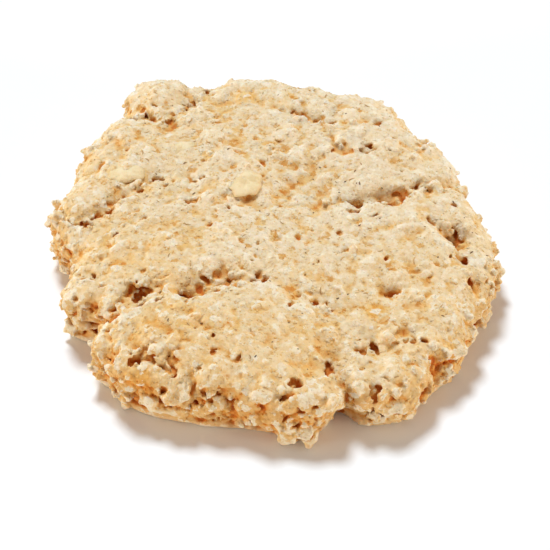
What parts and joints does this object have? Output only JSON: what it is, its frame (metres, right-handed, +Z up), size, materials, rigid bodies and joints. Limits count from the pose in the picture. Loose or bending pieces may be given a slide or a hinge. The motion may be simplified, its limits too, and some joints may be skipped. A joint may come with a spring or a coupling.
{
  "type": "oat biscuit",
  "caption": "Round hand-pressed oat biscuit: a craggy pale disc with a lobed edge, fissures, pits and rolled-oat flakes, lying on its flat baked underside.",
  "frame": {"origin": "centre of the flat underside, on the surface that the biscuit lies on", "axes": "+Z up through the thickness, +X to the biscuit's right as seen from its front, -Y its front"},
  "size_m": [0.0666, 0.0706, 0.0122],
  "materials": {
    "oat_crumb": "dry, rough baked oat crumb"
  },
  "bodies": {
    "root": {"biscuit": "oat_crumb"}
  },
  "joints": []
}
